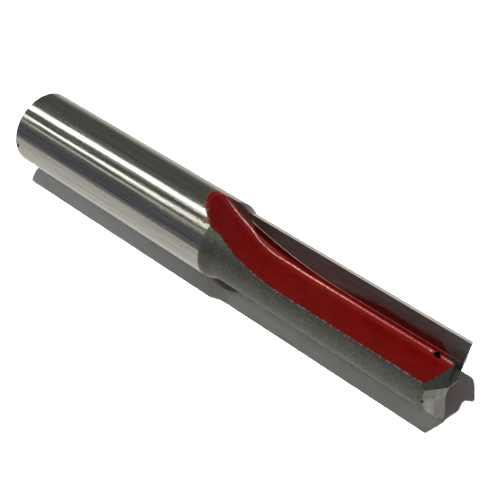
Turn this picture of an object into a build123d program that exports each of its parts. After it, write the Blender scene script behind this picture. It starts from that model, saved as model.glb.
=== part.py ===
"""Two-flute straight router bit: one turned and milled steel body with two brazed carbide blades.

The bit stands on the flat end of its shank. Z is its axis and points at the cutting end. Seen from
that end the bit turns counter-clockwise. Each wing has a frame of its own, turned about Z: "out"
runs from the axis to the cutting edge, and "ahead" is the way the edge moves.
"""
import os
from math import asin, cos, degrees, radians, sin, tan

from build123d import *

# Lengths along the axis, in mm
shank_length = 42.9
step_length = 1.5
blade_start = 45.8
flute_straight_start = 57.6
overall_length = 84.64
# Turned sizes
shank_diameter = 12.7
body_diameter = 11.44
shank_end_chamfer = 0.25
shoulder_fillet = 1.2
step_fillet = 0.9
# Flute: a flat wall under the blade, and a broad face that leans away from it
wing_count = 2
root_out = 1.4
wall_depth = 1.1
root_fillet = 0.55
broad_face_lean = 6.0
mill_radius = 36.0
mill_sweep = 60.0
# Blade section, across the axis
cutting_diameter = 12.7
hook_angle = 15.0
blade_width = 4.3
blade_thickness = 2.1
primary_land = 1.0
primary_relief = 15.0
secondary_relief = 30.0
# The inner side of the blade leaves the flute on an arc at the shank end
arc_radius = 57.0
arc_length = 18.2
# Facet ground on the face of the blade at its end
end_facet_edge_length = 4.4
end_facet_inner_length = 0.9
end_facet_tilt = 2.0
# Ground end: relief behind each end edge, with an outer and an inner facet
end_relief = 17.0
outer_facet_dish = 4.7
inner_facet_fall = 2.2
centre_drop = 0.2
# Gash that opens the flute at the end
gash_drop = 1.54
gash_out_slope = 32.3
gash_ahead_slope = 11.1
gash_wall_turn = 34.5
gash_wall_gap = 0.12

shank_radius = shank_diameter / 2
body_radius = body_diameter / 2
cutting_radius = cutting_diameter / 2
step_end = shank_length + step_length
mill_axis_out = root_out + mill_radius
clear = shank_diameter


def wing_plane(angle: float, height: float) -> Plane:
    """Plane across the axis, with X out to the cutting edge of the wing and Y ahead of it."""
    out = Vector(0, -1, 0).rotate(Axis.Z, angle)
    return Plane(origin=(0, 0, height), x_dir=out, z_dir=(0, 0, 1))


def sloped_plane(out: float, ahead: float, height: float, out_slope: float, ahead_slope: float) -> Plane:
    """Plane through a point of the first wing that rises by two slopes, in degrees."""
    wing = wing_plane(0, 0)
    normal = wing.x_dir * -tan(radians(out_slope)) + wing.y_dir * -tan(radians(ahead_slope)) + wing.z_dir
    return Plane(origin=wing.from_local_coords((out, ahead, height)), z_dir=normal)


def blade_face_plane(angle: float) -> Plane:
    """Plane on the face of a blade, with X inward from its cutting edge and Y along the axis."""
    wing = wing_plane(angle, 0)
    inward = wing.x_dir * -cos(radians(hook_angle)) + wing.y_dir * -sin(radians(hook_angle))
    face_normal = wing.x_dir * -sin(radians(hook_angle)) + wing.y_dir * cos(radians(hook_angle))
    return Plane(origin=wing.from_local_coords((cutting_radius, 0, 0)), x_dir=inward, z_dir=face_normal)


# Space that the flute mill sweeps: straight to the end, and round the mill's own axis at the shank
with BuildPart() as flute_sweep:
    with BuildSketch(wing_plane(0, flute_straight_start)) as flute_outline:
        with BuildLine():
            broad_face_top = root_out - (clear + wall_depth) * tan(radians(broad_face_lean))
            Polyline(
                (root_out, -wall_depth), (clear, -wall_depth), (clear, clear), (broad_face_top, clear), close=True
            )
        make_face()
        fillet(flute_outline.vertices().group_by(Axis.Y)[0].sort_by(Axis.X)[0], root_fillet)
    extrude(amount=overall_length - flute_straight_start + clear)
    mill_centre = wing_plane(0, flute_straight_start).from_local_coords((mill_axis_out, 0, 0))
    revolve(
        flute_outline.sketch,
        axis=Axis(mill_centre, -wing_plane(0, 0).y_dir),
        revolution_arc=mill_sweep,
    )

# Stock above the end of a wing: outside both its outer and its inner facet
with BuildPart() as end_stock:
    with BuildSketch(Plane.XY.offset(overall_length - clear)):
        Rectangle(2 * clear, 2 * clear)
    extrude(amount=2 * clear)
    split(bisect_by=sloped_plane(cutting_radius, 0, overall_length, outer_facet_dish, end_relief))
    split(bisect_by=sloped_plane(0, 0, overall_length - centre_drop, -inner_facet_fall, end_relief))

# Stock that the gash takes off the back of the other wing, up to a wall near the axis
with BuildPart() as gash_stock:
    with BuildSketch(wing_plane(0, overall_length - clear)):
        with BuildLine():
            turn = radians(gash_wall_turn)
            corner_out = (gash_wall_gap + wall_depth * sin(turn)) / cos(turn)
            wall_run = 2 * clear
            Polyline(
                (corner_out, -wall_depth),
                (clear, -wall_depth),
                (clear, clear),
                (corner_out - wall_run * sin(turn), -wall_depth + wall_run * cos(turn)),
                close=True,
            )
        make_face()
    extrude(amount=2 * clear)
    split(
        bisect_by=sloped_plane(
            root_out, -wall_depth, overall_length - gash_drop, -gash_out_slope, -gash_ahead_slope
        )
    )


def make_blade(angle: float) -> BuildPart:
    """Brazed carbide blade of the wing at an angle, ground on its land, face and end."""
    face = blade_face_plane(angle)
    with BuildPart() as blade:
        with BuildSketch(wing_plane(angle, blade_start)):
            with BuildLine():
                hook = radians(hook_angle)
                inner = (cutting_radius - blade_width * cos(hook), -blade_width * sin(hook))
                inner_back = (inner[0] + blade_thickness * sin(hook), inner[1] - blade_thickness * cos(hook))
                first = radians(primary_relief)
                second = radians(secondary_relief)
                land = (cutting_radius - primary_land * sin(first), -primary_land * cos(first))
                depth_left = blade_thickness - primary_land * cos(first + hook)
                land_run = depth_left / cos(second + hook)
                outer_back = (land[0] - land_run * sin(second), land[1] - land_run * cos(second))
                Polyline((cutting_radius, 0), inner, inner_back, outer_back, land, close=True)
            make_face()
        extrude(amount=overall_length - blade_start)
        with BuildSketch(face):
            with BuildLine():
                arc_top = blade_start + arc_length
                wheel_angle = degrees(asin(arc_length / arc_radius))
                arc = CenterArc((blade_width - arc_radius, arc_top), arc_radius, 0, -wheel_angle)
                Polyline(arc @ 1, (blade_width + clear, blade_start), (blade_width + clear, arc_top), arc @ 0)
            make_face()
        extrude(amount=clear, both=True, mode=Mode.SUBTRACT)
        edge_point = face.from_local_coords((0, overall_length - end_facet_edge_length, 0))
        inner_point = face.from_local_coords((blade_width, overall_length - end_facet_inner_length, 0))
        to_corner = face.z_dir.cross((inner_point - edge_point).normalized())
        tilt = radians(end_facet_tilt)
        facet_normal = face.z_dir * cos(tilt) + to_corner * sin(tilt)
        split(bisect_by=Plane(origin=edge_point, z_dir=facet_normal), keep=Keep.BOTTOM)
        for wing in range(wing_count):
            add(end_stock.part, rotation=(0, 0, wing * 360 / wing_count), mode=Mode.SUBTRACT)
    return blade


blades = [make_blade(wing * 360 / wing_count) for wing in range(wing_count)]

with BuildPart() as steel_body:
    with BuildSketch(Plane.XZ) as blank_profile:
        with BuildLine():
            Polyline(
                (0, 0),
                (shank_radius - shank_end_chamfer, 0),
                (shank_radius, shank_end_chamfer),
                (shank_radius, shank_length),
                (body_radius, step_end),
                (body_radius, overall_length),
                (0, overall_length),
                close=True,
            )
        make_face()
        shoulder = blank_profile.vertices().sort_by_distance((shank_radius, shank_length, 0))[0]
        fillet(shoulder, shoulder_fillet)
        step_foot = blank_profile.vertices().sort_by_distance((body_radius, step_end, 0))[0]
        fillet(step_foot, step_fillet)
    revolve(axis=Axis.Z)
    for wing, blade in enumerate(blades):
        wing_turn = (0, 0, wing * 360 / wing_count)
        add(flute_sweep.part, rotation=wing_turn, mode=Mode.SUBTRACT)
        add(gash_stock.part, rotation=wing_turn, mode=Mode.SUBTRACT)
        add(end_stock.part, rotation=wing_turn, mode=Mode.SUBTRACT)
        add(blade.part, mode=Mode.SUBTRACT)

os.makedirs("parts", exist_ok=True)
steel_body.part.label = "steel_body"
export_step(steel_body.part, "parts/steel_body.step")
for number, blade in enumerate(blades, start=1):
    blade.part.label = f"carbide_blade_{number}"
    export_step(blade.part, f"parts/carbide_blade_{number}.step")
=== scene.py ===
"""Dress of a two-flute straight router bit: finishes, braze beads, table, lights and camera."""
import logging
import math
from dataclasses import dataclass
from enum import Enum
from functools import reduce
from typing import NamedTuple

import bmesh
import bpy
from mathutils import Matrix, Vector


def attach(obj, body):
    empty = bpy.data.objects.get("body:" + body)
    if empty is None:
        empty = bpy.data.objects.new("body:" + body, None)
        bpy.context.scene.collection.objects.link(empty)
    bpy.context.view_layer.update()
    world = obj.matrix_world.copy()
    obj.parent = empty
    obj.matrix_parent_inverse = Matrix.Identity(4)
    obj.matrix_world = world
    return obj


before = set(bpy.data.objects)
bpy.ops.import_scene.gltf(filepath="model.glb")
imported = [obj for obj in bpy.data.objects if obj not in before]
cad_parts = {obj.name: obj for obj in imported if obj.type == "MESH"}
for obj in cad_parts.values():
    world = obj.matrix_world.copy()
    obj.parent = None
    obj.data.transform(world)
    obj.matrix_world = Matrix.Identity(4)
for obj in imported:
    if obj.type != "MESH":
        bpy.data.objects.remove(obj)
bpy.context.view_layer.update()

log = logging.getLogger("router_bit")

MM = 0.001
Triple = tuple[float, float, float]
Node = bpy.types.Node
Socket = bpy.types.NodeSocket
Value = Socket | float
Input = Socket | float | Triple

WHITE: Triple = (1.0, 1.0, 1.0)
UP = Vector((0, 0, 1))


@dataclass(frozen=True)
class Finish:
    """Surface finish of one part of the bit."""

    color: Triple
    metallic: float
    roughness: float


class Finishes(Enum):
    """The finishes that the bit shows."""

    POLISHED_SHANK = Finish((0.46, 0.455, 0.43), 1.0, 0.12)
    BLASTED_STEEL = Finish((0.160, 0.160, 0.140), 0.8, 0.46)
    RED_PAINT = Finish((0.150, 0.0035, 0.0025), 0.0, 0.26)
    DULL_PAINT = Finish((0.150, 0.0035, 0.0025), 0.0, 0.50)
    # Painted highlight: pale flecks for the sparkle of the flute corner's highlight.
    PAINTED_GLINT_FLECK = Finish((0.95, 0.70, 0.62), 0.0, 0.20)
    # Painted highlight: pale pink paint for the soft glow beside the flute's corner.
    PAINTED_SOFT_HIGHLIGHT = Finish((0.36, 0.05, 0.04), 0.0, 0.30)
    # Painted highlight: near-white pink for the line of glints along the flute's corner, and for
    # patches on the braze beads.
    PAINTED_CORNER_HIGHLIGHT = Finish((0.80, 0.26, 0.21), 0.0, 0.22)
    THIN_PAINT = Finish((0.095, 0.052, 0.048), 0.3, 0.40)
    WORN_PAINT = Finish((0.40, 0.25, 0.21), 0.6, 0.35)
    BRONZE_SMEAR = Finish((0.20, 0.13, 0.09), 0.9, 0.35)
    MILLED_STEEL = Finish((0.075, 0.08, 0.075), 0.75, 0.45)
    # Painted shade: near-black for the shaded upright web at the tip.
    PAINTED_SHADE_STEEL = Finish((0.030, 0.038, 0.036), 0.4, 0.55)
    GROUND_END = Finish((0.30, 0.305, 0.27), 0.85, 0.40)
    BARE_STEEL = Finish((0.62, 0.60, 0.56), 1.0, 0.30)
    # Near-black spots: the pit, a spot at the heel and a nick at the shank's end.
    NEAR_BLACK_SPOT = Finish((0.004, 0.004, 0.004), 1.0, 0.75)
    CARBIDE_FACE = Finish((0.225, 0.24, 0.24), 0.42, 0.46)
    # Painted shade: darker carbide for the ends of the face, where less light is reflected.
    PAINTED_SHADE_CARBIDE = Finish((0.07, 0.085, 0.072), 0.5, 0.45)
    CARBIDE_LAND = Finish((0.92, 0.90, 0.82), 0.8, 0.34)
    CARBIDE_END = Finish((0.255, 0.26, 0.25), 0.85, 0.36)
    BRAZE = Finish((0.42, 0.40, 0.36), 1.0, 0.36)


@dataclass(frozen=True)
class BitSizes:
    """Sizes of the bit in mm and degrees, as its steel and carbide are made."""

    blast_start: float = 42.2
    shank_length: float = 42.9
    step_end: float = 44.4
    shank_radius: float = 6.35
    body_radius: float = 5.72
    cutting_radius: float = 6.35
    wall_depth: float = 1.1
    root_out: float = 1.4
    flute_straight_start: float = 57.6
    mill_radius: float = 36.0
    blade_start: float = 45.8
    blade_width: float = 4.3
    hook_angle: float = 15.0
    arc_radius: float = 57.0
    arc_length: float = 18.2
    gash_height: float = 83.77
    gash_out_slope: float = 0.632
    gash_ahead_slope: float = 0.196
    overall_length: float = 84.64
    wing_count: int = 2

    @property
    def hook(self) -> float:
        """Hook of the carbide face in radians."""
        return math.radians(self.hook_angle)


SIZES = BitSizes()


class Step(NamedTuple):
    """Change of a mask or a factor: two levels of what it reads, and what it gives there."""

    low: float
    high: float
    to_low: float = 0.0
    to_high: float = 1.0


class Grain(NamedTuple):
    """Noise: grains in each mm, octaves of finer grain, and factors on X, Y and Z."""

    scale: float
    detail: float = 3.0
    stretch: Triple = (1.0, 1.0, 1.0)


class Spot(NamedTuple):
    """Ragged spot: its middle, its radius, how far its outline wanders, and its finish."""

    point: Triple
    size: float
    wander: float
    finish: Finishes


class Graph:
    """Node graph of a material or of the world, built from small steps."""

    # First input and output of a Mix node, by the kind of value.
    BLEND_SOCKETS = {"FLOAT": (2, 0), "RGBA": (6, 2)}
    FIRST_BOUNCE = 0.5

    def __init__(self, owner: bpy.types.Material | bpy.types.World, output: str) -> None:
        """Start an empty graph.

        Args:
            owner: The material or the world that the graph belongs to.
            output: Name of its output node.
        """
        owner.use_nodes = True
        self.owner = owner
        self.tree = owner.node_tree
        self.tree.nodes.clear()
        self.output = self.node(output)

    @classmethod
    def of_material(cls, name: str) -> "Graph":
        """Empty graph of a new material."""
        return cls(bpy.data.materials.new(name), "OutputMaterial")

    def node(self, kind: str) -> Node:
        """Add one node, by Blender's name for it without ShaderNode."""
        return self.tree.nodes.new(f"ShaderNode{kind}")

    def put(self, socket: Socket, value: Input) -> None:
        """Link or set one input socket.

        Args:
            socket: The input.
            value: An output, a number, or the parts of a colour or a vector.
        """
        if isinstance(value, Socket):
            self.tree.links.new(value, socket)
        elif socket.type == "RGBA":
            socket.default_value = (*value, 1.0)
        else:
            socket.default_value = value

    def shader(self, kind: str, inputs: dict[str | int, Input]) -> Socket:
        """Shader node.

        Args:
            kind: Name of the node.
            inputs: The values of its inputs, by name or number.

        Returns:
            The shader's socket.
        """
        node = self.node(kind)
        for key, value in inputs.items():
            self.put(node.inputs[key], value)
        return node.outputs[0]

    def show(self, shader: Socket) -> None:
        """Link the last shader to the output."""
        self.tree.links.new(shader, self.output.inputs[0])

    def math(self, operation: str, *values: Value) -> Socket:
        """Math node.

        Args:
            operation: Blender's name of the operation.
            values: One or two sockets or numbers.

        Returns:
            The result socket.
        """
        node = self.node("Math")
        node.operation = operation
        for index, value in enumerate(values):
            self.put(node.inputs[index], value)
        return node.outputs[0]

    def times(self, *values: Value) -> Socket:
        """Product of two or more values, taken from left to right."""
        return reduce(lambda first, second: self.math("MULTIPLY", first, second), values)

    def plus(self, first: Value, second: Value) -> Socket:
        """Sum of two values."""
        return self.math("ADD", first, second)

    def minus(self, first: Value, second: Value) -> Socket:
        """Difference of two values."""
        return self.math("SUBTRACT", first, second)

    def greatest(self, first: Value, second: Value) -> Socket:
        """The greater of two values."""
        return self.math("MAXIMUM", first, second)

    def length(self, first: Socket, second: Socket) -> Socket:
        """Square root of the sum of two squares."""
        squares = [self.math("POWER", side, 2.0) for side in (first, second)]
        return self.math("SQRT", self.plus(*squares))

    def ramp(self, value: Value, step: Step, kind: str = "SMOOTHSTEP") -> Socket:
        """Change from one level to another, held at both ends.

        Args:
            value: The value that is read.
            step: Its levels and what they give.
            kind: SMOOTHSTEP for a smooth change, LINEAR for a straight one.

        Returns:
            The result socket.
        """
        node = self.node("MapRange")
        node.interpolation_type = kind
        for index, number in enumerate((value, *step)):
            self.put(node.inputs[index], number)
        return node.outputs[0]

    def mask(self, *steps: tuple[Value, Step]) -> Socket:
        """Product of smooth changes, each read from its own value."""
        return self.times(*(self.ramp(value, step) for value, step in steps))

    def vector(self, operation: str, first: Socket, second: Input, slot: str | int = 1) -> Node:
        """Vector math node.

        Args:
            operation: Blender's name of the operation.
            first: The first vector.
            second: The second vector, or a factor.
            slot: The input that takes the second value.

        Returns:
            The node.
        """
        node = self.node("VectorMath")
        node.operation = operation
        self.put(node.inputs[0], first)
        self.put(node.inputs[slot], second)
        return node

    def scaled(self, vector: Socket, factor: Value) -> Socket:
        """A vector times a factor."""
        return self.vector("SCALE", vector, factor, "Scale").outputs["Vector"]

    def distance(self, place: Socket, point: Triple) -> Socket:
        """Distance of a place from a point."""
        return self.vector("DISTANCE", place, point).outputs["Value"]

    def split(self, vector: Socket) -> tuple[Socket, Socket, Socket]:
        """Take a vector apart.

        Args:
            vector: The vector.

        Returns:
            The sockets of its three parts.
        """
        node = self.node("SeparateXYZ")
        self.put(node.inputs[0], vector)
        return tuple(node.outputs)

    def join(self, *parts: Value) -> Socket:
        """Put a vector together.

        Args:
            parts: Its three parts.

        Returns:
            The vector's socket.
        """
        node = self.node("CombineXYZ")
        for socket, value in zip(node.inputs, parts):
            self.put(socket, value)
        return node.outputs[0]

    def shade(self, color: Triple, factor: Socket) -> Socket:
        """A colour made lighter or darker by a factor."""
        return self.scaled(self.join(*color), factor)

    def place(self) -> Socket:
        """Object coordinates in mm."""
        return self.scaled(self.node("TexCoord").outputs["Object"], 1 / MM)

    def true_normal(self) -> Socket:
        """Flat normal of the surface."""
        return self.node("NewGeometry").outputs["True Normal"]

    def noise(self, place: Socket, grain: Grain) -> Socket:
        """Noise between 0 and 1.

        Args:
            place: The place in mm.
            grain: The kind of noise.

        Returns:
            The noise socket.
        """
        node = self.node("TexNoise")
        stretched = self.vector("MULTIPLY", place, grain.stretch).outputs["Vector"]
        self.put(node.inputs["Vector"], stretched)
        self.put(node.inputs["Scale"], grain.scale)
        self.put(node.inputs["Detail"], grain.detail)
        return node.outputs["Fac"]

    def specks(self, place: Socket, scale: float, size: float) -> Socket:
        """Mask of small scattered specks.

        Args:
            place: The place in mm.
            scale: Cells in each mm.
            size: Radius of a speck as a share of its cell.

        Returns:
            The mask, 1 on a speck.
        """
        node = self.node("TexVoronoi")
        self.put(node.inputs["Vector"], place)
        self.put(node.inputs["Scale"], scale)
        return self.ramp(node.outputs["Distance"], Step(size, size / 2))

    def blend(self, factor: Value, first: Input, second: Input, kind: str = "FLOAT") -> Socket:
        """Blend of two numbers or two colours.

        Args:
            factor: Share of the second one.
            first: The first one.
            second: The second one.
            kind: FLOAT for numbers, RGBA for colours.

        Returns:
            The result socket.
        """
        node = self.node("Mix")
        node.data_type = kind
        self.put(node.inputs["Factor"], factor)
        input_number, output_number = self.BLEND_SOCKETS[kind]
        for index, value in enumerate((first, second), start=input_number):
            self.put(node.inputs[index], value)
        return node.outputs[output_number]

    def bump(self, height: Socket, relief: float) -> Socket:
        """Bumped normal.

        Args:
            height: Height between 0 and 1.
            relief: Real height of 1, in mm.

        Returns:
            The normal socket.
        """
        node = self.node("Bump")
        self.put(node.inputs["Height"], height)
        self.put(node.inputs["Distance"], relief * MM)
        return node.outputs[0]

    def mirror_rays(self, path: Node) -> Socket:
        """Mask of the rays that a polished surface sends out before any matt one."""
        before_matt = self.math("LESS_THAN", path.outputs["Diffuse Depth"], self.FIRST_BOUNCE)
        return self.times(path.outputs["Is Glossy Ray"], before_matt)


class Layers:
    """Finishes laid over each other on one surface, each with its own mask."""

    IOR = 1.38

    def __init__(self, graph: Graph, base: Finishes) -> None:
        """Start with the finish that lies under all others.

        Args:
            graph: The surface's graph.
            base: The finish.
        """
        self.graph = graph
        self.color: Input = base.value.color
        self.metallic: Value = base.value.metallic
        self.roughness: Value = base.value.roughness

    def tone(self, factor: Socket) -> None:
        """Make the base colour lighter or darker by a factor."""
        self.color = self.graph.shade(self.color, factor)

    def over(self, mask: Value, finish: Finishes, tone: Socket | None = None) -> None:
        """Lay one finish over the others.

        Args:
            mask: Where it lies, 0 to 1.
            finish: The finish.
            tone: A factor on the finish's own colour.
        """
        graph, value = self.graph, finish.value
        color = value.color if tone is None else graph.shade(value.color, tone)
        self.color = graph.blend(mask, self.color, color, "RGBA")
        self.metallic = graph.blend(mask, self.metallic, value.metallic)
        self.roughness = graph.blend(mask, self.roughness, value.roughness)

    def close(self, height: Socket, relief: float) -> bpy.types.Material:
        """Finish the material with one shader.

        Args:
            height: Height of the surface's relief, 0 to 1.
            relief: Real height of 1, in mm.

        Returns:
            The material.
        """
        graph = self.graph
        inputs = {
            "Normal": graph.bump(height, relief),
            "Base Color": self.color,
            "Metallic": self.metallic,
            "Roughness": self.roughness,
            "IOR": self.IOR,
        }
        graph.show(graph.shader("BsdfPrincipled", inputs))
        return graph.owner


def behind_face(graph: Graph, out: Socket, ahead: Socket, sizes: BitSizes) -> Socket:
    """Distance behind the plane of a wing's carbide face, in mm."""
    inside = graph.times(graph.minus(out, sizes.cutting_radius), math.sin(sizes.hook))
    return graph.plus(inside, graph.times(ahead, -math.cos(sizes.hook)))


class SteelBody:
    """The turned and milled body: polished shank, blasted cutting part, painted flutes, ground end.

    Each point is read in the frame of its own wing: out is its distance from the axis towards the
    wing's cutting edge, ahead its distance in front of the axis, and depth how far it lies below
    the turned bar. Lengths are in mm and heights run along the axis.
    """

    # Line between the wings, and noises that the finishes share.
    WING_SIDE = (0.824, 0.566)
    FINE_GRAIN = Grain(9.0)
    SAND = Grain(3.6, 2.0)
    RAGGED = Grain(5.0)
    RAGGED_MEAN = 0.5

    # Relief.
    RELIEF = 0.012
    RELIEF_PITS = Grain(8.0)
    RELIEF_SCRATCHES = 0.5
    RELIEF_NEAR_NECK = Step(22.0, 42.0, 0.35, 1.3)
    RELIEF_NEAR_END = Step(8.0, 0.0)

    # Polished shank.
    SCRATCHES = Grain(1.0, 4.0, (3.2, 3.2, 0.10))
    SCRATCH_TONE = Step(0.3, 0.7, -0.10, 0.12)
    POLISH_GRIT = Grain(6.5)
    POLISH_TONE = Step(0.25, 0.75, 0.82, 1.18)
    POLISH_ROUGHNESS = Step(0.12, 0.38, 0.06, 0.15)
    SMEAR = Spot((4.60, -4.35, 41.25), 0.55, 0.5, Finishes.BRONZE_SMEAR)
    SMEAR_DEPTH = Step(0.10, 0.02)

    # Blasted steel, and its paler neck behind the blade.
    BLAST_BORDER = 0.03
    BLAST_CLOUD = Grain(0.35, 4.0)
    BLAST_CLOUD_TONE = Step(0.3, 0.7, -0.08, 0.08)
    BLAST_SAND_TONE = Step(0.25, 0.75, 0.72, 1.22)
    BLAST_GRAIN_TONE = Step(0.25, 0.75, 0.82, 1.2)
    NECK_AHEAD = Step(-1.3, -1.8)
    NECK_OUT = Step(4.0, 4.8)
    NECK_HEIGHT = Step(46.0, 45.0)
    NECK_SHARE = 0.8
    SPECKS = ((1.0, 0.075), (0.55, 0.055))

    # Paint.
    PAINT_DEPTH = Step(0.06, 0.10)
    PAINT_RAGGED = 0.02
    PAINT_HEIGHT = Step(30.0, 31.0)
    PAINT_CLOUD = Grain(0.6, 4.0)
    PAINT_CLOUD_TONE = Step(0.3, 0.7, 0.86, 1.10)
    PAINT_SAND_TONE = Step(0.25, 0.75, -0.10, 0.10)
    SPILL_LEAN = 0.105
    SPILL_SHIFT = Step(-0.6, 4.2, 0.62, 0.05)
    SPILL_RAGGED = Step(0.2, 0.8, -0.05, 0.05)
    SPILL_EDGE = Step(0.0, 0.06)
    SPILL_AHEAD = Step(-1.05, -0.75)
    SPILL_HEIGHT = Step(43.0, 42.5)
    WALL_OUT = Step(0.10, 0.35)
    # Painted light: the wall's paint colour is raised by a factor of 1.4 over the rest.
    WALL_PAINTED_LIGHT = 1.4

    # Corner of the flute, with painted highlights along it.
    BEND_START = Step(45.4, 48.4)
    BEND_END = Step(55.0, 50.0)
    BEND_LIFT = 0.42
    CORNER_LIFT = 0.22
    CORNER_SHIFT = Step(0.0, 1.0, 0.16, -0.06)
    GLOW_REACH = Step(1.5, 0.1, 0.0, 0.21)
    GLOW_OUT = Step(0.20, 0.0)
    GLINTS = Grain(5.5)
    GLINT_SHARE = Step(0.38, 0.60, 0.12, 1.0)
    LINE_REACH = Step(0.20, 0.04)
    LINE_TIP = Step(64.0, 80.0, 1.0, 0.6)
    LINE_NECK = Step(47.5, 51.5, 0.45, 1.0)
    FLECKS = Grain(5.0, 1.0)
    FLECK_SHARE = Step(0.44, 0.58)
    FLECK_TIP = Step(68.0, 60.0)
    FLECK_REACH = Step(0.16, 0.04)

    # Thin and worn paint.
    THIN_HEIGHT = Step(46.6, 45.4)
    THIN_AHEAD = Step(-0.86, -1.04)
    THIN_SHARE = 0.8
    RIM_DEPTH = Step(0.30, 0.14)
    RIM_AHEAD = Step(2.0, 3.0)
    RIM_HEIGHT = Step(43.5, 60.0, 0.1, 1.0)
    RIM_WEAR = Grain(2.2)
    RIM_WEAR_SHARE = Step(0.50, 0.64, 0.05, 0.9)

    # Milled steel.
    GASH_EDGE = Step(-0.06, -0.02)
    BARE_WALL_AHEAD = Step(-0.80, -0.92)
    BARE_WALL_OUT = Step(1.2, 1.4)
    BARE_WALL_HEIGHT = Step(81.7, 82.0)
    BARE_WALL_RAGGED = 0.5
    MILLED_CLOUD = Grain(1.4)
    MILLED_TONE = Step(0.3, 0.7, 0.85, 1.15)

    # Ground end, with painted light and shade on its facets.
    END_FACING = Step(0.88, 0.92)
    END_HEIGHT = Step(80.0, 80.1)
    SMUDGES = Grain(1.1, 3.0, (1.0, 0.35, 1.0))
    SMUDGE_TONE = Step(0.35, 0.65, 0.80, 1.1)
    # Painted light on the facet beside the blade, and painted shade on the end towards the middle.
    FACET_PAINTED_LIGHT = Step(2.2, 2.0, 1.55, 1.24)
    MIDDLE_LEAN = 0.131
    MIDDLE_PAINTED_SHADE = Step(2.50, 2.58, 0.76, 1.0)
    WEB_TILT = Step(0.45, 0.52)
    WEB_FACING = Step(0.3, 0.2)
    WEB_RADIUS = Step(2.2, 1.8)
    WEB_HEIGHT = Step(82.5, 83.0)

    # Marks.
    STRING_OUT = 1.42
    STRING_BEHIND = 0.93
    STRING_REACH = Step(0.22, 0.12)
    STRING_START = Step(80.9, 81.1)
    STRING_END = Step(82.9, 82.7)
    STRING_FLECKS = Grain(4.2, 2.0)
    STRING_SHARE = Step(0.44, 0.58, 0.0, 0.8)
    SPOT_BORDER = 0.05
    WING_SPOTS = (
        Spot((-0.98, -1.39, 79.10), 0.22, 0.25, Finishes.WORN_PAINT),
        Spot((-1.00, -1.40, 79.32), 0.12, 0.10, Finishes.NEAR_BLACK_SPOT),
        Spot((-0.88, -1.38, 80.20), 0.52, 0.40, Finishes.NEAR_BLACK_SPOT),
        Spot((-0.70, -1.36, 80.60), 0.26, 0.25, Finishes.NEAR_BLACK_SPOT),
        Spot((5.31, 2.12, 82.75), 0.26, 0.20, Finishes.NEAR_BLACK_SPOT),
    )
    NICK = (6.13, 1.66, 0.75)
    NICK_REACH = Step(0.42, 0.25)

    def __init__(self, sizes: BitSizes) -> None:
        """Read the place of a point on the body, in the frame of its own wing.

        Args:
            sizes: Sizes of the bit.
        """
        self.sizes = sizes
        graph = self.graph = Graph.of_material("steel_body_finish")
        self.place = graph.place()
        x, y, self.z = graph.split(self.place)
        out = graph.times(y, -1.0)
        out_share, ahead_share = self.WING_SIDE
        lean = graph.plus(graph.times(out, out_share), graph.times(x, ahead_share))
        side = graph.math("SIGN", lean)
        self.out = graph.times(out, side)
        self.ahead = graph.times(x, side)
        self.wing_place = graph.join(self.ahead, graph.times(self.out, -1.0), self.z)
        self.radius = graph.length(x, y)
        self.depth = graph.minus(self.turned_radius(), self.radius)
        tilt, _, self.facing = graph.split(graph.true_normal())
        self.tilt = graph.math("ABSOLUTE", tilt)
        self.fine_grain = graph.noise(self.place, self.FINE_GRAIN)
        self.sand = graph.noise(self.place, self.SAND)
        self.ragged = graph.noise(self.place, self.RAGGED)
        self.layers = Layers(graph, Finishes.POLISHED_SHANK)

    def dress(self) -> bpy.types.Material:
        """Lay all the finishes of the body.

        Returns:
            The material of the whole body.
        """
        graph = self.graph
        scratches = self.polish()
        blasted = self.blast()
        self.paint()
        self.bare_milled()
        self.grind_end()
        self.mark()
        pits = graph.noise(self.place, self.RELIEF_PITS)
        near_neck = graph.ramp(self.z, self.RELIEF_NEAR_NECK)
        near_end = graph.ramp(self.z, self.RELIEF_NEAR_END)
        dimples = graph.times(self.ragged, graph.greatest(near_neck, near_end))
        polished = graph.plus(graph.times(scratches, self.RELIEF_SCRATCHES), dimples)
        return self.layers.close(graph.blend(blasted, polished, pits), self.RELIEF)

    def turned_radius(self) -> Socket:
        """Radius of the turned bar at a height, through the cone of the step.

        Returns:
            The radius in mm.
        """
        sizes = self.sizes
        cone = Step(sizes.shank_length, sizes.step_end, sizes.shank_radius, sizes.body_radius)
        return self.graph.ramp(self.z, cone, "LINEAR")

    def root_out(self, shift: Value = 0.0) -> Socket:
        """How far out the corner of the flute lies at a height.

        Args:
            shift: How far the flute is moved down the axis, in mm.

        Returns:
            The distance from the axis in mm.
        """
        graph, sizes = self.graph, self.sizes
        height = graph.plus(self.z, shift)
        below = graph.greatest(graph.minus(sizes.flute_straight_start, height), 0.0)
        rise = graph.math("DIVIDE", graph.math("POWER", below, 2.0), 2 * sizes.mill_radius)
        return graph.plus(rise, sizes.root_out)

    def spot(self, place: Socket, spot: Spot) -> Socket:
        """Mask of one ragged spot.

        Args:
            place: The place that is read.
            spot: The spot.

        Returns:
            The mask, 1 on the spot.
        """
        graph = self.graph
        wander = graph.times(graph.minus(self.ragged, self.RAGGED_MEAN), 2 * spot.wander)
        near = graph.plus(graph.distance(place, spot.point), wander)
        return graph.ramp(near, Step(spot.size + self.SPOT_BORDER, spot.size - self.SPOT_BORDER))

    def polish(self) -> Socket:
        """Polish the shank, with fine scratches along it and a small bronze smear.

        Returns:
            The scratches, 0 to 1.
        """
        graph, layers = self.graph, self.layers
        scratches = graph.noise(self.place, self.SCRATCHES)
        grit = graph.noise(self.place, self.POLISH_GRIT)
        scratched = graph.ramp(scratches, self.SCRATCH_TONE)
        layers.tone(graph.plus(scratched, graph.ramp(grit, self.POLISH_TONE)))
        layers.roughness = graph.ramp(graph.times(scratches, grit), self.POLISH_ROUGHNESS)
        smear = self.spot(self.place, self.SMEAR)
        on_bar = graph.ramp(self.depth, self.SMEAR_DEPTH)
        layers.over(graph.times(smear, on_bar), self.SMEAR.finish)
        return scratches

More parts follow.
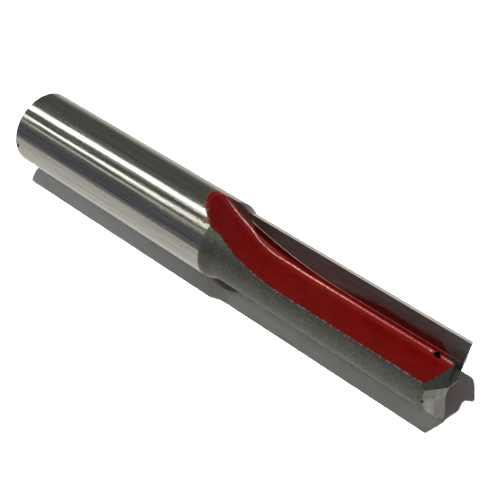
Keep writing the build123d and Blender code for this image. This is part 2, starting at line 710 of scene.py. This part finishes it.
    def blast(self) -> Socket:
        """Blast the cutting part, with sandy grain, pale specks and a paler step behind the blade.

        Returns:
            The mask of the blasted part.
        """
        graph, layers = self.graph, self.layers
        start = self.sizes.blast_start
        blasted = graph.ramp(self.z, Step(start - self.BLAST_BORDER, start + self.BLAST_BORDER))
        cloud = graph.ramp(graph.noise(self.place, self.BLAST_CLOUD), self.BLAST_CLOUD_TONE)
        tone = graph.plus(cloud, graph.ramp(self.sand, self.BLAST_SAND_TONE))
        tone = graph.times(tone, graph.ramp(self.fine_grain, self.BLAST_GRAIN_TONE))
        layers.over(blasted, Finishes.BLASTED_STEEL, tone)
        behind = graph.mask((self.ahead, self.NECK_AHEAD), (self.out, self.NECK_OUT))
        neck = graph.times(behind, blasted, graph.ramp(self.z, self.NECK_HEIGHT), self.NECK_SHARE)
        layers.over(neck, Finishes.GROUND_END)
        specks = [graph.specks(self.place, scale, size) for scale, size in self.SPECKS]
        layers.over(graph.times(graph.greatest(*specks), blasted), Finishes.BARE_STEEL)
        return blasted

    def paint(self) -> None:
        """Paint the flutes, with a duller wall lightened by painted light, painted highlights along
        the corner, a thin neck and worn rims.
        """
        graph, layers = self.graph, self.layers
        depth = graph.plus(self.depth, graph.times(self.ragged, self.PAINT_RAGGED))
        inside = graph.greatest(graph.ramp(depth, self.PAINT_DEPTH), self.spill())
        inside = graph.times(inside, graph.ramp(self.z, self.PAINT_HEIGHT))
        cloud = graph.ramp(graph.noise(self.place, self.PAINT_CLOUD), self.PAINT_CLOUD_TONE)
        tone = graph.plus(cloud, graph.ramp(self.sand, self.PAINT_SAND_TONE))
        layers.over(inside, Finishes.RED_PAINT, tone)
        past_root = graph.minus(self.out, self.root_out())
        # Painted light: the wall is duller, and its paint colour is raised by a factor of 1.4.
        wall = graph.times(graph.ramp(past_root, self.WALL_OUT), inside)
        layers.over(wall, Finishes.DULL_PAINT, graph.times(tone, self.WALL_PAINTED_LIGHT))
        self.paint_corner(inside, past_root)
        self.wear_paint(inside)

    def spill(self) -> Socket:
        """Mask of the paint that reaches past the flute onto the shank.

        Returns:
            The mask, 1 on the paint.
        """
        graph = self.graph
        lean = graph.times(graph.plus(self.ahead, self.sizes.wall_depth), self.SPILL_LEAN)
        shift = graph.ramp(self.ahead, self.SPILL_SHIFT, "LINEAR")
        past = graph.plus(graph.minus(self.out, self.root_out(shift)), lean)
        past = graph.plus(past, graph.ramp(self.ragged, self.SPILL_RAGGED))
        near = graph.mask((self.ahead, self.SPILL_AHEAD), (self.z, self.SPILL_HEIGHT))
        return graph.times(graph.ramp(past, self.SPILL_EDGE), near)

    def paint_corner(self, inside: Socket, past_root: Socket) -> None:
        """Lay painted highlights along the corner of the flute: a soft pale glow, a pale line of
        glints and glossy flecks.

        Args:
            inside: Mask of the paint.
            past_root: Distance past the corner, towards the cutting edge.
        """
        graph, layers = self.graph, self.layers
        bend = graph.mask((self.z, self.BEND_START), (self.z, self.BEND_END))
        across = graph.minus(past_root, graph.ramp(bend, self.CORNER_SHIFT, "LINEAR"))
        above = graph.plus(self.ahead, self.sizes.wall_depth - self.CORNER_LIFT)
        above = graph.minus(above, graph.times(bend, self.BEND_LIFT))
        away = graph.length(across, above)
        # Painted highlight: a soft pale glow beside the corner, where the fillet catches light.
        glow = graph.mask((away, self.GLOW_REACH), (across, self.GLOW_OUT))
        layers.over(graph.times(glow, inside), Finishes.PAINTED_SOFT_HIGHLIGHT)
        # Painted highlight: a bright line of glints along the corner, shifted in the bend to where
        # the highlight falls.
        glints = graph.ramp(graph.noise(self.place, self.GLINTS), self.GLINT_SHARE)
        line = graph.times(graph.ramp(away, self.LINE_REACH), glints)
        line = graph.times(line, graph.ramp(self.z, self.LINE_TIP))
        line = graph.times(line, graph.ramp(self.z, self.LINE_NECK), inside)
        layers.over(line, Finishes.PAINTED_CORNER_HIGHLIGHT)
        # Painted highlight: glints scattered beside the corner line towards the neck.
        flecks = graph.ramp(graph.noise(self.place, self.FLECKS), self.FLECK_SHARE)
        flecks = graph.times(flecks, graph.ramp(self.z, self.FLECK_TIP))
        flecks = graph.times(flecks, graph.ramp(away, self.FLECK_REACH), inside)
        layers.over(flecks, Finishes.PAINTED_GLINT_FLECK)

    def wear_paint(self, inside: Socket) -> None:
        """Thin the paint by the neck and wear it off along the rim.

        Args:
            inside: Mask of the paint.
        """
        graph, layers = self.graph, self.layers
        thin = graph.mask((self.z, self.THIN_HEIGHT), (self.ahead, self.THIN_AHEAD))
        layers.over(graph.times(thin, inside, self.THIN_SHARE), Finishes.THIN_PAINT)
        worn = graph.ramp(graph.noise(self.place, self.RIM_WEAR), self.RIM_WEAR_SHARE)
        rim = graph.mask((self.depth, self.RIM_DEPTH), (self.ahead, self.RIM_AHEAD))
        rim = graph.times(rim, inside, graph.ramp(self.z, self.RIM_HEIGHT), worn)
        layers.over(rim, Finishes.BARE_STEEL)

    def bare_milled(self) -> None:
        """Bare what the gash cuts, and the wall beside the end of the blade."""
        graph, sizes = self.graph, self.sizes
        out_slope = graph.times(self.out, sizes.gash_out_slope)
        slope = graph.plus(out_slope, graph.times(self.ahead, sizes.gash_ahead_slope))
        above = graph.minus(graph.plus(self.z, slope), sizes.gash_height)
        gash = graph.ramp(above, self.GASH_EDGE)
        wall_end = graph.plus(self.z, graph.times(self.ragged, self.BARE_WALL_RAGGED))
        wall = graph.mask(
            (self.ahead, self.BARE_WALL_AHEAD),
            (self.out, self.BARE_WALL_OUT),
            (wall_end, self.BARE_WALL_HEIGHT),
        )
        tone = graph.ramp(graph.noise(self.place, self.MILLED_CLOUD), self.MILLED_TONE)
        self.layers.over(graph.greatest(gash, wall), Finishes.MILLED_STEEL, tone)

    def grind_end(self) -> None:
        """Grind the end facets, with painted light and shade that set them apart, and a painted
        shade on the web between them.
        """
        graph, layers = self.graph, self.layers
        end = graph.mask((self.facing, self.END_FACING), (self.z, self.END_HEIGHT))
        back = behind_face(graph, self.out, self.ahead, self.sizes)
        lean = graph.times(graph.math("ABSOLUTE", self.ahead), self.MIDDLE_LEAN)
        middle = graph.plus(graph.math("ABSOLUTE", self.out), lean)
        # Painted light and shade: the facet beside the blade lighter, the end darker towards the
        # middle. The smudges are the steel's own.
        tone = graph.mask(
            (graph.noise(self.place, self.SMUDGES), self.SMUDGE_TONE),
            (back, self.FACET_PAINTED_LIGHT),
            (middle, self.MIDDLE_PAINTED_SHADE),
        )
        layers.over(end, Finishes.GROUND_END, tone)
        # Painted shade on the upright web and sliver near the axis at the tip.
        upright = graph.mask((self.tilt, self.WEB_TILT), (self.facing, self.WEB_FACING))
        web = graph.mask((self.radius, self.WEB_RADIUS), (self.z, self.WEB_HEIGHT))
        layers.over(graph.times(web, upright), Finishes.PAINTED_SHADE_STEEL)

    def mark(self) -> None:
        """Lay the string of flecks, the pit and the dark nicks."""
        graph, layers = self.graph, self.layers
        across = graph.minus(self.out, self.STRING_OUT)
        away = graph.length(across, graph.plus(self.ahead, self.STRING_BEHIND))
        span = graph.mask((self.z, self.STRING_START), (self.z, self.STRING_END))
        string = graph.times(graph.ramp(away, self.STRING_REACH), span)
        flecks = graph.ramp(graph.noise(self.place, self.STRING_FLECKS), self.STRING_SHARE)
        layers.over(graph.times(string, flecks), Finishes.WORN_PAINT)
        for spot in self.WING_SPOTS:
            layers.over(self.spot(self.wing_place, spot), spot.finish)
        nick = graph.ramp(graph.distance(self.place, self.NICK), self.NICK_REACH)
        layers.over(nick, Finishes.NEAR_BLACK_SPOT)


class CarbideBlade:
    """Finish of a brazed blade: dark ground face, pale lands and grey end with a painted highlight
    on its edges.
    """

    STREAKS = Grain(1.6, 3.0, (1.0, 1.0, 0.12))
    STREAK_TONE = Step(0.3, 0.7, -0.14, 0.14)
    GRIT = Grain(5.0, 2.0)
    GRIT_TONE = Step(0.25, 0.75, 0.9, 1.1)
    RELIEF = 0.004
    RELIEF_GRAIN = Grain(18.0, 2.0)

    # Face, and the paint and the painted shade at its ends.
    ON_FACE = Step(0.90, 0.97)
    SPRAY_WIDTH = Step(58.0, 71.0, 4.2, 2.15)
    SPRAY_EDGE = Grain(0.7)
    SPRAY_EDGE_SHIFT = Step(0.2, 0.8, -0.16, 0.16)
    SPRAY_BORDER = Step(-0.15, 1.0)
    SPRAY_TIP_LEAN = 0.9
    SPRAY_TIP = Step(82.4, 81.4, 0.0, 0.95)
    WEDGE_HEIGHT = Step(80.6, 82.4)
    WEDGE_INWARD = Step(1.6, 3.2, 0.0, 0.6)
    HEEL_HEIGHT = Step(53.0, 47.0, 0.0, 0.6)
    FACET_START = Step(0.001, 0.004)
    FACET_END = Step(0.013, 0.008)
    FACET_INWARD = Step(1.4, 3.6, 0.0, 0.6)

    # Lands.
    OFF_FACE = Step(0.97, 0.90)
    BELOW_END = Step(0.8, 0.7)
    LAND_INWARD = Step(1.9, 1.7)
    STRIPE_START = Step(0.42, 0.52)
    STRIPE_END = Step(0.78, 0.68)
    STRIPE_SHARE = 0.6

    # End.
    END_FACING = Step(0.88, 0.92)
    END_NEAR_FACE = Step(0.16, 0.06)
    END_AT_BACK = Step(1.92, 2.02)
    # Painted highlight: the end lighter along the cutting edge and along the back.
    END_PAINTED_GLINT = 0.25
    END_TONE = Step(0.3, 0.7, 0.94, 1.04)

    def __init__(self, number: int, sizes: BitSizes) -> None:
        """Read the place of a point on the blade of one wing.

        Args:
            number: Number of the wing, from 1.
            sizes: Sizes of the bit.
        """
        self.sizes = sizes
        graph = self.graph = Graph.of_material(f"carbide_finish_{number}")
        self.place = graph.place()
        x, y, self.z = graph.split(self.place)
        side = 1.0 if number == 1 else -1.0
        out, ahead = graph.times(y, -side), graph.times(x, side)
        hook_cos, hook_sin = math.cos(sizes.hook), math.sin(sizes.hook)
        self.back = behind_face(graph, out, ahead, sizes)
        self.inward = graph.math("DIVIDE", graph.minus(sizes.cutting_radius, out), hook_cos)
        normal_x, normal_y, self.up = graph.split(graph.true_normal())
        across = graph.times(normal_x, side * hook_cos)
        self.facing = graph.plus(across, graph.times(normal_y, side * hook_sin))
        self.grit = graph.noise(self.place, self.GRIT)
        self.layers = Layers(graph, Finishes.CARBIDE_FACE)

    def dress(self) -> bpy.types.Material:
        """Lay all the finishes of the blade.

        Returns:
            The material of the blade.
        """
        self.grind_face()
        self.grind_lands()
        self.grind_end()
        relief = self.graph.noise(self.place, self.RELIEF_GRAIN)
        return self.layers.close(relief, self.RELIEF)

    def overspray(self) -> Socket:
        """Mask of the paint that ran onto the face beside the flute.

        Returns:
            The mask, 1 on the paint.
        """
        graph, sizes = self.graph, self.sizes
        start = graph.ramp(self.z, self.SPRAY_WIDTH)
        wander = graph.ramp(graph.noise(self.place, self.SPRAY_EDGE), self.SPRAY_EDGE_SHIFT)
        past = graph.minus(self.inward, graph.plus(start, wander))
        lean = graph.times(graph.minus(sizes.blade_width, self.inward), self.SPRAY_TIP_LEAN)
        tip = graph.ramp(graph.plus(self.z, lean), self.SPRAY_TIP)
        return graph.times(graph.ramp(past, self.SPRAY_BORDER), tip)

    def grind_face(self) -> None:
        """Grind the face, with paint over its inner side, painted shade at both ends and the tip
        facet's line.
        """
        graph, layers = self.graph, self.layers
        streaks = graph.ramp(graph.noise(self.place, self.STREAKS), self.STREAK_TONE)
        layers.tone(graph.plus(streaks, graph.ramp(self.grit, self.GRIT_TONE)))
        flat = graph.ramp(self.facing, self.ON_FACE)
        layers.over(graph.times(self.overspray(), flat), Finishes.RED_PAINT)
        # Painted shade: the face darker by the tip and at the shank end.
        wedge = graph.mask((self.z, self.WEDGE_HEIGHT), (self.inward, self.WEDGE_INWARD))
        layers.over(graph.times(wedge, flat), Finishes.PAINTED_SHADE_CARBIDE)
        heel = graph.times(graph.ramp(self.z, self.HEEL_HEIGHT), flat)
        layers.over(heel, Finishes.PAINTED_SHADE_CARBIDE)
        facet = graph.mask((self.back, self.FACET_START), (self.back, self.FACET_END))
        facet = graph.times(facet, flat, graph.ramp(self.inward, self.FACET_INWARD))
        layers.over(facet, Finishes.CARBIDE_END)

    def grind_lands(self) -> None:
        """Grind the pale lands behind the edge, with a greyer stripe along them."""
        graph, layers = self.graph, self.layers
        land = graph.mask(
            (self.facing, self.OFF_FACE),
            (self.up, self.BELOW_END),
            (self.inward, self.LAND_INWARD),
        )
        layers.over(land, Finishes.CARBIDE_LAND)
        stripe = graph.mask((self.back, self.STRIPE_START), (self.back, self.STRIPE_END))
        layers.over(graph.times(stripe, land, self.STRIPE_SHARE), Finishes.CARBIDE_END)

    def grind_end(self) -> None:
        """Grind the end, with a painted highlight along the edge and at the back."""
        graph = self.graph
        end = graph.ramp(self.up, self.END_FACING)
        near_face = graph.ramp(self.back, self.END_NEAR_FACE)
        # Painted highlight along the edges of the end.
        glint = graph.greatest(near_face, graph.ramp(self.back, self.END_AT_BACK))
        tone = graph.plus(graph.times(glint, self.END_PAINTED_GLINT), graph.ramp(self.grit, self.END_TONE))
        self.layers.over(end, Finishes.CARBIDE_END, tone)


class BrazeBead:
    """Bead of braze along the inner edge of a blade."""

    RADIUS = 0.075
    SIDES = 10
    ARC_STEPS = 24
    END_GAP = 1.2
    FLOOR_LEVEL = 1e-6
    MERGE_DISTANCE = 1e-4

    LUMPS = Grain(2.4)
    RELIEF = 0.03
    PAINTED_HEIGHT = Step(54.0, 63.0)
    PAINTED_SHARE = Step(0.35, 0.6, 0.8, 1.0)
    # Painted highlight: pale patches on the paint over the bead.
    BEAD_HIGHLIGHT_SHARE = Step(0.4, 0.7, 0.15, 0.6)

    def __init__(self, sizes: BitSizes) -> None:
        """Bead of a bit of the given sizes."""
        self.sizes = sizes

    def finish(self) -> bpy.types.Material:
        """Lay the finishes: pale metal with paint drawn over it towards the end, and a painted
        highlight in patches on that paint.

        Returns:
            The material of the beads.
        """
        graph = Graph.of_material("braze_finish")
        place = graph.place()
        _, _, z = graph.split(place)
        lumps = graph.noise(place, self.LUMPS)
        layers = Layers(graph, Finishes.BRAZE)
        painted = graph.mask((z, self.PAINTED_HEIGHT), (lumps, self.PAINTED_SHARE))
        layers.over(painted, Finishes.RED_PAINT)
        # Painted highlight: pale patches where the painted bead catches light.
        pale = graph.times(painted, graph.ramp(lumps, self.BEAD_HIGHLIGHT_SHARE))
        layers.over(pale, Finishes.PAINTED_CORNER_HIGHLIGHT)
        return layers.close(lumps, self.RELIEF)

    def seat(self, number: int) -> Matrix:
        """Where the bead of one wing lies.

        Args:
            number: Number of the wing, from 1.

        Returns:
            The matrix from the bead's own frame in mm, in which X runs inward across the face of
            the blade and Z along the axis, to the bit's frame in metres.
        """
        sizes = self.sizes
        hook_cos, hook_sin = math.cos(sizes.hook), math.sin(sizes.hook)
        seat = Matrix((
            (-hook_sin, hook_cos, 0, 0),
            (hook_cos, hook_sin, 0, -sizes.cutting_radius),
            (0, 0, 1, sizes.blade_start + sizes.arc_length),
            (0, 0, 0, 1),
        ))
        turn = Matrix.Rotation(2 * math.pi * (number - 1) / sizes.wing_count, 4, "Z")
        return Matrix.Scale(MM, 4) @ turn @ seat

    def build(self, number: int) -> bpy.types.Object:
        """Bead of one wing: straight beside the blade's straight side, curved beside its arc.

        Args:
            number: Number of the wing, from 1.

        Returns:
            The bead's object, with its place in its mesh.
        """
        sizes = self.sizes
        straight = sizes.overall_length - sizes.blade_start - sizes.arc_length - self.END_GAP
        bm = bmesh.new()
        ring = bmesh.ops.create_circle(bm, segments=self.SIDES, radius=self.RADIUS, cap_ends=True)
        bmesh.ops.translate(bm, verts=ring["verts"], vec=(sizes.blade_width, 0, 0))
        made = bmesh.ops.extrude_face_region(bm, geom=list(bm.faces))
        top = [item for item in made["geom"] if isinstance(item, bmesh.types.BMVert)]
        bmesh.ops.translate(bm, verts=top, vec=(0, 0, straight))
        floor = [
            face for face in bm.faces if all(vert.co.z < self.FLOOR_LEVEL for vert in face.verts)
        ]
        bmesh.ops.spin(
            bm,
            geom=floor,
            cent=(sizes.blade_width - sizes.arc_radius, 0, 0),
            axis=(0, 1, 0),
            angle=math.asin(sizes.arc_length / sizes.arc_radius),
            steps=self.ARC_STEPS,
        )
        bmesh.ops.remove_doubles(bm, verts=bm.verts, dist=self.MERGE_DISTANCE)
        bmesh.ops.recalc_face_normals(bm, faces=bm.faces)
        bm.transform(self.seat(number))
        mesh = bpy.data.meshes.new(f"braze_bead_{number}")
        bm.to_mesh(mesh)
        bm.free()
        mesh.shade_smooth()
        bead = bpy.data.objects.new(mesh.name, mesh)
        bpy.context.scene.collection.objects.link(bead)
        return bead


@dataclass(frozen=True)
class Studio:
    """Table, lights, room and camera. The table lies along the bit and touches its shank.

    Lengths are in mm and angles in degrees, but for the table's size, which is in metres.
    """

    table_azimuth: float = -63.7
    table_drop: float = 6.35
    table_size: float = 4.0
    table_color: float = 0.25
    table_exposure: float = 3.3
    table_tint: Triple = (0.98, 1.0, 0.975)
    # Painted light: a glow on the table, fading from the shank's side towards the tip.
    table_painted_glow: Step = Step(15.0, 60.0, 0.075, 0.0)
    table_mirrored: Triple = (1.0, 0.97, 0.90)
    table_mirrored_level: Step = Step(8.0, 90.0, 0.74, 0.28)

    # Painted shade on the table: a strip close to the cutting part, and a dark wedge under the
    # neck.
    contact_lean: Step = Step(45.0, 85.0, 0.0, 1.8)
    contact_along: Step = Step(-4.3, -3.3, 1.0, 0.85)
    contact_start: Step = Step(43.0, 45.0)
    contact_end: Step = Step(83.0, 79.0)
    wedge_height: float = 44.2
    wedge_along: float = 3.40
    wedge_size: tuple[float, float] = (2.8, 0.80)
    wedge_dark: Step = Step(1.2, 0.7, 1.0, 0.20)

    key_power: float = 1.05
    key_spread: float = 1.1
    key_side_tilt: float = -0.064
    key_end_tilts: Triple = (0.125, 0.25, 0.34)
    under_power: float = 0.35
    under_spread: float = 60.0

    room_level: float = 0.030
    # Angle about the bit, level of the room there, and its blue as a share of the level.
    room_stops: tuple[Triple, ...] = (
        (-178, 0.30, 0.92), (-170, 0.34, 0.92), (-158, 0.12, 0.92), (-92, 0.13, 0.92),
        (-74.5, 0.26, 0.92), (-70, 4.2, 0.94), (-63, 4.2, 0.94), (-58, 0.16, 0.90),
        (-38, 0.12, 0.86), (-35.3, 3.7, 0.90), (-33.8, 3.7, 0.90), (-31, 0.14, 0.86),
        (-20.5, 0.18, 0.88), (-17.5, 1.4, 0.90), (-15, 0.18, 0.92), (0, 0.13, 1.08),
        (25, 0.12, 1.3), (122, 0.25, 1.0), (137, 0.07, 1.0), (168, 0.07, 1.0),
    )

    camera_lens: float = 79.63
    camera_sensor: float = 36.0
    camera_clip: tuple[float, float] = (0.01, 20.0)
    camera_right: Triple = (-0.63136, -0.19773, 0.7499)
    camera_up: Triple = (-0.28289, -0.84161, -0.4601)
    camera_place: Triple = (120.57, -84.53, 126.32)

    def normal(self) -> Vector:
        """Direction that the table faces."""
        turn = math.radians(self.table_azimuth)
        return Vector((math.cos(turn), math.sin(turn), 0.0))

    def across(self) -> Vector:
        """Direction in the table that is square to the bit's axis."""
        return self.normal().cross(UP)

    def add_table(self) -> bpy.types.Object:
        """Add the white table.

        Returns:
            The table's object.
        """
        normal = self.normal()
        turn = normal.to_track_quat("Z", "Y").to_matrix().to_4x4()
        bm = bmesh.new()
        bmesh.ops.create_grid(bm, x_segments=1, y_segments=1, size=self.table_size / 2)
        bm.transform(Matrix.Translation(-normal * self.table_drop * MM) @ turn)
        mesh = bpy.data.meshes.new("table")
        bm.to_mesh(mesh)
        bm.free()
        mesh.materials.append(self.table_finish())
        table = bpy.data.objects.new("table", mesh)
        bpy.context.scene.collection.objects.link(table)
        return table

    def table_finish(self) -> bpy.types.Material:
        """Matt white that keeps the bit's shadow, with painted shade beside the bit and a painted
        glow lightening the shadow towards the shank, dimmer in a mirror and clear from behind.

        Returns:
            The table's material.
        """
        graph = Graph.of_material("table_finish")
        path = graph.node("LightPath")
        seen = path.outputs["Is Camera Ray"]
        x, y, z = graph.split(graph.place())
        level = graph.blend(seen, self.table_color, self.table_exposure)
        # Painted shade on the table by the bit.
        level = graph.times(level, self.painted_contact_shade(graph, (x, y, z)))
        matt = graph.shader("BsdfDiffuse", {"Color": graph.shade(self.table_tint, level)})
        # Painted light: a glow that lightens the shadow towards the shank.
        painted_glow_level = graph.times(graph.ramp(z, self.table_painted_glow), seen)
        painted_glow = graph.shader("Emission", {"Strength": painted_glow_level})
        lit = graph.shader("AddShader", {0: matt, 1: painted_glow})
        level = graph.ramp(graph.length(x, y), self.table_mirrored_level)
        glow = graph.shader("Emission", {"Color": self.table_mirrored, "Strength": level})
        mirrors = graph.mirror_rays(path)
        front = graph.shader("MixShader", {"Fac": mirrors, 1: lit, 2: glow})
        clear = graph.shader("BsdfTransparent", {})
        behind = graph.node("NewGeometry").outputs["Backfacing"]
        graph.show(graph.shader("MixShader", {"Fac": behind, 1: front, 2: clear}))
        return graph.owner

    def painted_contact_shade(self, graph: Graph, place: tuple[Socket, Socket, Socket]) -> Socket:
        """Painted shade on the table: a darker strip close to the cutting part and a dark wedge
        under its neck.

        Args:
            graph: The table's graph.
            place: The three parts of the place in mm.

        Returns:
            The factor on the table's colour, 0 to 1.
        """
        x, y, z = place
        across = self.across()
        along = graph.plus(graph.times(x, across.x), graph.times(y, across.y))
        leaned = graph.plus(along, graph.ramp(z, self.contact_lean, "LINEAR"))
        strip = graph.ramp(leaned, self.contact_along)
        beside = graph.mask((z, self.contact_start), (z, self.contact_end))
        strip = graph.blend(beside, 1.0, strip)
        length, width = self.wedge_size
        up = graph.math("DIVIDE", graph.minus(z, self.wedge_height), length)
        aside = graph.math("DIVIDE", graph.plus(along, self.wedge_along), width)
        return graph.times(strip, graph.ramp(graph.length(up, aside), self.wedge_dark))

    def add_sun(self, name: str, towards: Vector, power: float, spread: float) -> bpy.types.Light:
        """Add a sun lamp.

        Args:
            name: Name of the lamp.
            towards: Direction from the bit to the lamp.
            power: Strength.
            spread: Angle that the lamp fills, in degrees.

        Returns:
            The lamp.
        """
        lamp = bpy.data.lights.new(name, "SUN")
        lamp.energy = power
        lamp.angle = math.radians(spread)
        sun = bpy.data.objects.new(name, lamp)
        sun.rotation_euler = towards.to_track_quat("Z", "Y").to_euler()
        sun.visible_glossy = False
        bpy.context.scene.collection.objects.link(sun)
        return lamp

    def add_lights(self) -> None:
        """Add the key lamps over the table and a weak lamp under it."""
        normal, side = self.normal(), self.across() * self.key_side_tilt
        for number, end_tilt in enumerate(self.key_end_tilts, start=1):
            towards = normal - side - UP * end_tilt
            self.add_sun(f"key_lamp_{number}", towards, self.key_power, self.key_spread)
        under = self.add_sun("under_lamp", -normal, self.under_power, self.under_spread)
        under.use_shadow = False

    def add_room(self) -> None:
        """Add the room: white to the camera, bright panels in a mirror, dim to all else."""
        world = bpy.data.worlds.new("room")
        bpy.context.scene.world = world
        graph = Graph(world, "OutputWorld")
        path = graph.node("LightPath")
        dim = graph.shader("Background", {"Color": WHITE, "Strength": self.room_level})
        mirrored = graph.shader("Background", {"Color": self.room_bands(graph)})
        white = graph.shader("Background", {"Color": WHITE})
        mirrors = graph.mirror_rays(path)
        unseen = graph.shader("MixShader", {"Fac": mirrors, 1: dim, 2: mirrored})
        seen = path.outputs["Is Camera Ray"]
        graph.show(graph.shader("MixShader", {"Fac": seen, 1: unseen, 2: white}))

    def room_bands(self, graph: Graph) -> Socket:
        """Colour of the room by the angle about the bit: tall bright panels in a dim room.

        Args:
            graph: The world's graph.

        Returns:
            The colour socket.
        """
        x, y, _ = graph.split(graph.node("TexCoord").outputs["Generated"])
        angle = graph.math("ARCTAN2", y, x)
        bands = graph.node("ValToRGB")
        graph.put(bands.inputs[0], graph.ramp(angle, Step(-math.pi, math.pi), "LINEAR"))
        elements = bands.color_ramp.elements
        while len(elements) < len(self.room_stops):
            elements.new(0.5)
        for element, (turn, level, blue) in zip(elements, self.room_stops):
            element.position = (turn + 180) / 360
            element.color = (level, level, level * blue, 1.0)
        return bands.outputs[0]

    def add_camera(self) -> None:
        """Add the camera above the table, rolled so that the bit lies across its picture."""
        data = bpy.data.cameras.new("camera")
        data.sensor_fit = "HORIZONTAL"
        data.sensor_width = self.camera_sensor
        data.lens = self.camera_lens
        data.clip_start, data.clip_end = self.camera_clip
        right, up = Vector(self.camera_right), Vector(self.camera_up)
        turn = Matrix((right, up, right.cross(up))).transposed().to_4x4()
        camera = bpy.data.objects.new("camera", data)
        camera.matrix_world = Matrix.Translation(Vector(self.camera_place) * MM) @ turn
        bpy.context.scene.collection.objects.link(camera)
        bpy.context.scene.camera = camera


def assign(node: bpy.types.Object, material: bpy.types.Material) -> None:
    """Give a CAD node one material in each of its slots."""
    for slot in node.material_slots:
        slot.material = material


def main() -> None:
    """Dress the bit, build its beads, and set the table, the lights, the room and the camera."""
    logging.basicConfig(level=logging.INFO)
    assign(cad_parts["steel_body"], SteelBody(SIZES).dress())
    log.info("steel body dressed")
    braze = BrazeBead(SIZES)
    braze_finish = braze.finish()
    for number in range(1, SIZES.wing_count + 1):
        assign(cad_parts[f"carbide_blade_{number}"], CarbideBlade(number, SIZES).dress())
        bead = braze.build(number)
        bead.data.materials.append(braze_finish)
        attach(bead, "root")
        log.info("blade %d dressed, with its braze bead", number)
    studio = Studio()
    studio.add_table()
    studio.add_lights()
    studio.add_room()
    studio.add_camera()
    bpy.context.scene.view_settings.view_transform = "Standard"


if __name__ == "__main__":
    main()
